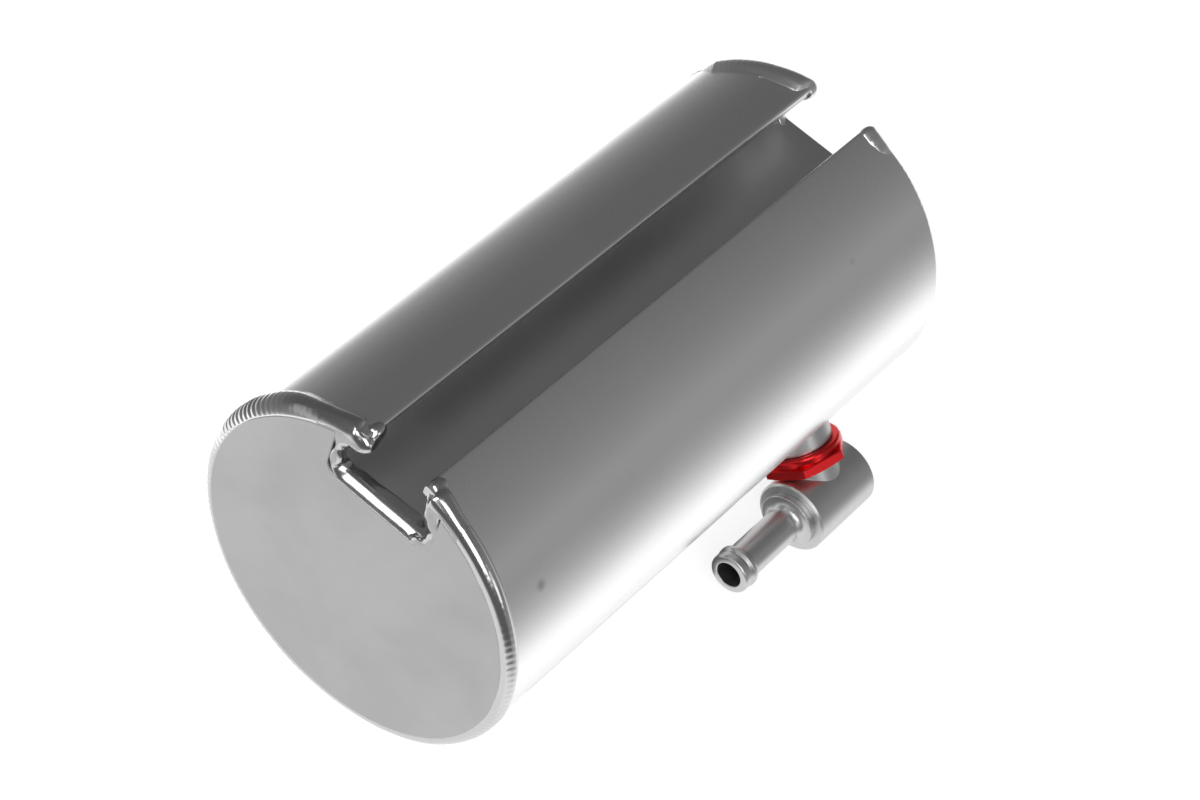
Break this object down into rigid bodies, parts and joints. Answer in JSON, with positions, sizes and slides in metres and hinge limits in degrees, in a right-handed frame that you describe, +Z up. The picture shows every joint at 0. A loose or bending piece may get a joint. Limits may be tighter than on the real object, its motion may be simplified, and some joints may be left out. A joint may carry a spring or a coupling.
{
  "type": "oil catch can",
  "caption": "Round aluminium oil catch can with a full-length T-slot for mounting, welded end caps and a swivelling inlet elbow with a hose tail.",
  "frame": {"origin": "middle of the underside of the whole object, as it lies on its weld beads and its inlet elbow", "axes": "+X along the can from the bottom cap to the top cap, +Z up with the T-slot near the top, the inlet elbow on the -Y side"},
  "size_m": [0.2234, 0.1278, 0.1032],
  "materials": {
    "can_aluminium": "satin, drawn along its length",
    "cap_aluminium": "matt sheet",
    "weld_aluminium": "bright as welded",
    "fitting_aluminium": "satin turned",
    "washer_aluminium": "satin",
    "red_anodised": "bright red anodising",
    "seal_rubber": "matt black",
    "spring_steel": "drawn wire"
  },
  "bodies": {
    "can": {"can_body": "can_aluminium", "bottom_cap": "cap_aluminium", "top_cap": "cap_aluminium", "bottom_cap_weld": "weld_aluminium", "top_cap_weld": "weld_aluminium", "inlet_bung": "fitting_aluminium", "inlet_bung_weld": "weld_aluminium", "inlet_seal": "seal_rubber", "outlet_bung": "fitting_aluminium", "outlet_bung_weld": "weld_aluminium", "outlet_washer": "washer_aluminium", "outlet_hose_tail": "fitting_aluminium", "baffle_plate": "cap_aluminium", "baffle_tacks": "weld_aluminium"},
    "elbow": {"swivel_nut": "red_anodised", "nut_wire_ring": "spring_steel", "inlet_elbow": "fitting_aluminium", "inlet_hose_tail": "fitting_aluminium"}
  },
  "joints": [
    {"name": "inlet_swivel", "type": "hinge", "parent": "can", "child": "elbow", "pos_m": [0.05285, -0.05267, 0.01125], "axis": [0, -0.8496, -0.5275], "continuous": true}
  ]
}
